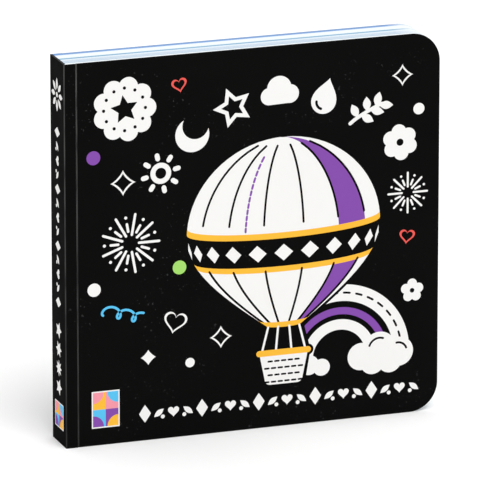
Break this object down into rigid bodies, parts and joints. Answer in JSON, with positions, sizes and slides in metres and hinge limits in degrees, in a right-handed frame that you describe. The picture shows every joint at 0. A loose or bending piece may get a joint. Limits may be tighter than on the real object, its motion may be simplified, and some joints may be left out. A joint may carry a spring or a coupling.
{
  "type": "board book",
  "caption": "Small square board book with thick leaves, rounded fore-edge corners, a flat folded spine and covers that open at scored creases.",
  "frame": {"origin": "middle of the rectangle that the tail edge stands on", "axes": "+X from the spine to the fore-edge, +Y from the front cover to the back cover, +Z from the tail to the head"},
  "size_m": [0.16, 0.0178, 0.16],
  "materials": {
    "printed_board": "satin",
    "white_board": "satin"
  },
  "bodies": {
    "block": {"spine_cover": "printed_board", "page_block": "white_board"},
    "front": {"front_cover": "printed_board", "front_pastedown": "white_board"},
    "back": {"back_cover": "printed_board", "back_pastedown": "white_board"}
  },
  "joints": [
    {"name": "front_cover_hinge", "type": "hinge", "parent": "block", "child": "front", "pos_m": [-0.0748, -0.0089, 0.08], "axis": [0, 0, -1], "range_deg": [0, 180]},
    {"name": "back_cover_hinge", "type": "hinge", "parent": "block", "child": "back", "pos_m": [-0.0748, 0.0089, 0.08], "axis": [0, 0, 1], "range_deg": [0, 180]}
  ]
}
